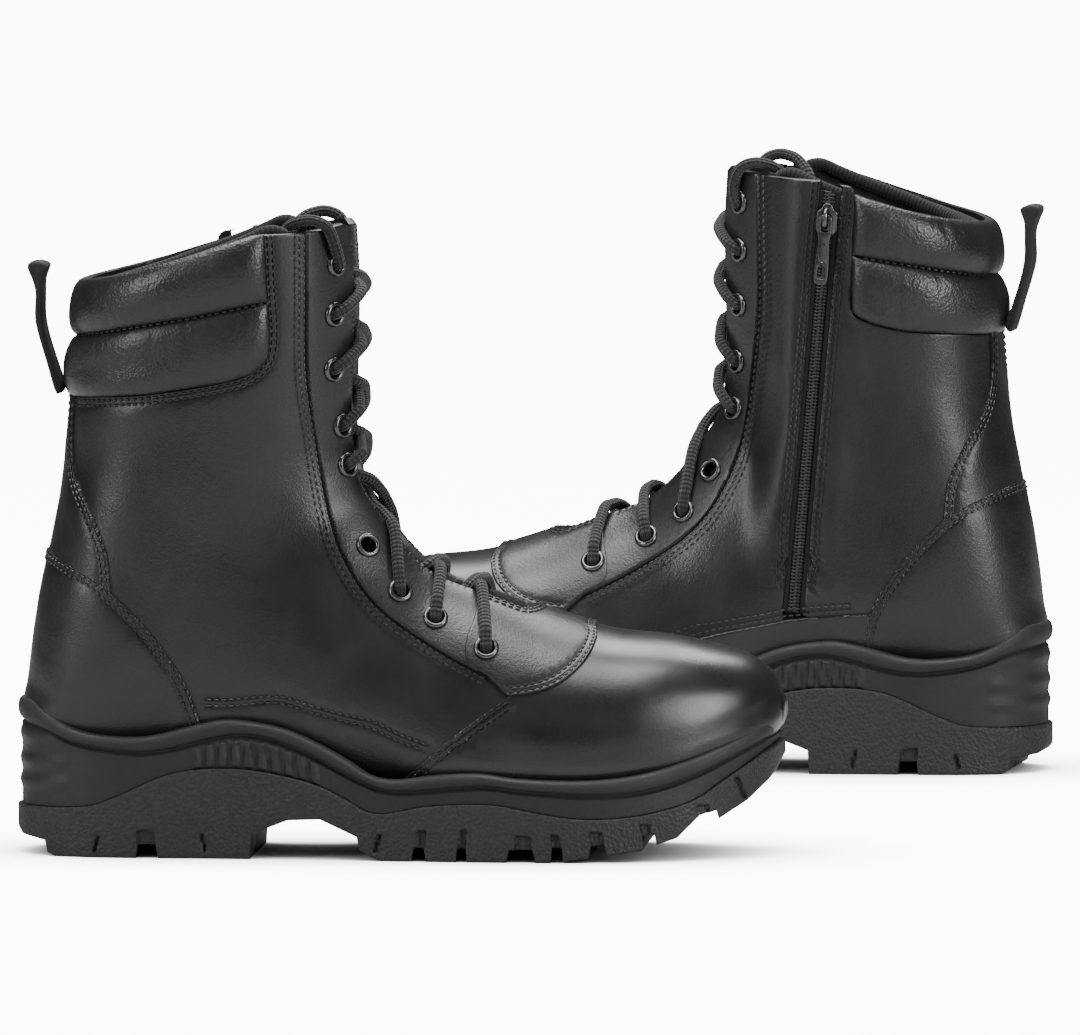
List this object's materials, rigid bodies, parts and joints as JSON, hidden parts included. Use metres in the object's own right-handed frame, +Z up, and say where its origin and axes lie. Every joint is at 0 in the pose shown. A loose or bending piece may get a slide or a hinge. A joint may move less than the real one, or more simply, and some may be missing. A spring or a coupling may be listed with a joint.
{
  "type": "laced side-zip safety boots",
  "caption": "Black leather lace-up safety boots with a side zip, padded two-roll collar, webbing pull loop and a cleated rubber sole.",
  "frame": {"origin": "centre of the pair's bounding box, on the ground", "axes": "+Z up, +Y from the front boot to the rear boot, +X along the front boot from heel to toe, 4 degrees off"},
  "size_m": [0.4238, 0.5676, 0.2621],
  "materials": {
    "leather_smooth": "smooth, semi-gloss",
    "leather_soft": "soft grain over foam, semi-gloss",
    "rubber_sole": "matte, fine dotted panels",
    "midsole": "matte, grained",
    "textile": "woven, matte",
    "lining": "mesh lining, matte",
    "webbing": "ribbed webbing",
    "lace_cord": "round braid",
    "eyelet_metal": "black gloss",
    "zip_metal": "gunmetal",
    "zip_coil": "satin",
    "steel": "plain",
    "board": "fibre board",
    "footbed": "textile-covered foam"
  },
  "bodies": {
    "front_boot": {"front_outsole": "rubber_sole", "front_midsole": "midsole", "front_shank": "steel", "front_insole_board": "board", "front_footbed": "footbed", "front_lining": "lining", "front_toe_cap": "steel", "front_heel_stiffener": "board", "front_vamp": "leather_smooth", "front_outer_quarter": "leather_smooth", "front_inner_front_quarter": "leather_smooth", "front_inner_rear_quarter": "leather_smooth", "front_inner_foxing": "leather_smooth", "front_heel_counter": "leather_smooth", "front_back_stay": "leather_smooth", "front_collar_upper_roll": "leather_soft", "front_collar_lower_roll": "leather_soft", "front_outer_facing": "leather_smooth", "front_inner_facing": "leather_smooth", "front_apron": "leather_smooth", "front_outer_eyelets": "eyelet_metal", "front_inner_eyelets": "eyelet_metal", "front_tongue": "textile", "front_lace": "lace_cord", "front_zip_tape_front": "textile", "front_zip_tape_rear": "textile", "front_zip_coil": "zip_coil"},
    "front_loop": {"front_pull_loop": "webbing"},
    "front_slider": {"front_zip_slider": "zip_metal"},
    "front_puller": {"front_zip_puller": "zip_metal"},
    "rear_boot": {"rear_outsole": "rubber_sole", "rear_midsole": "midsole", "rear_shank": "steel", "rear_insole_board": "board", "rear_footbed": "footbed", "rear_lining": "lining", "rear_toe_cap": "steel", "rear_heel_stiffener": "board", "rear_vamp": "leather_smooth", "rear_outer_quarter": "leather_smooth", "rear_inner_front_quarter": "leather_smooth", "rear_inner_rear_quarter": "leather_smooth", "rear_inner_foxing": "leather_smooth", "rear_heel_counter": "leather_smooth", "rear_back_stay": "leather_smooth", "rear_collar_upper_roll": "leather_soft", "rear_collar_lower_roll": "leather_soft", "rear_outer_facing": "leather_smooth", "rear_inner_facing": "leather_smooth", "rear_apron": "leather_smooth", "rear_outer_eyelets": "eyelet_metal", "rear_inner_eyelets": "eyelet_metal", "rear_tongue": "textile", "rear_lace": "lace_cord", "rear_zip_tape_front": "textile", "rear_zip_tape_rear": "textile", "rear_zip_coil": "zip_coil"},
    "rear_loop": {"rear_pull_loop": "webbing"},
    "rear_slider": {"rear_zip_slider": "zip_metal"},
    "rear_puller": {"rear_zip_puller": "zip_metal"}
  },
  "joints": [
    {"name": "front_zip_travel", "type": "slide", "parent": "front_boot", "child": "front_slider", "axis": [0.0898, -0.0553, -0.9944], "range_m": [0, 0.148]},
    {"name": "front_puller_swing", "type": "hinge", "parent": "front_slider", "child": "front_puller", "pos_m": [-0.12033, -0.16742, 0.23331], "axis": [0.9932, -0.0695, 0.0935], "range_deg": [0, 160]},
    {"name": "front_loop_bend", "type": "hinge", "parent": "front_boot", "child": "front_loop", "pos_m": [-0.19482, -0.21518, 0.185], "axis": [-0.0698, -0.9976, 0], "range_deg": [0, 80], "stiffness_Nm_per_rad": 0.05},
    {"name": "rear_zip_travel", "type": "slide", "parent": "rear_boot", "child": "rear_slider", "axis": [-0.0846, 0.0629, -0.9944], "range_m": [0, 0.148]},
    {"name": "rear_puller_swing", "type": "hinge", "parent": "rear_slider", "child": "rear_puller", "pos_m": [0.11626, 0.15568, 0.23331], "axis": [-0.9834, 0.1557, 0.0935], "range_deg": [0, 160]},
    {"name": "rear_loop_bend", "type": "hinge", "parent": "rear_boot", "child": "rear_loop", "pos_m": [0.19464, 0.19676, 0.185], "axis": [0.1564, 0.9877, 0], "range_deg": [0, 80], "stiffness_Nm_per_rad": 0.05},
    {"name": "rear_boot_lift", "type": "slide", "parent": "front_boot", "child": "rear_boot", "axis": [0, 0, 1], "range_m": [0, 0.25]}
  ]
}
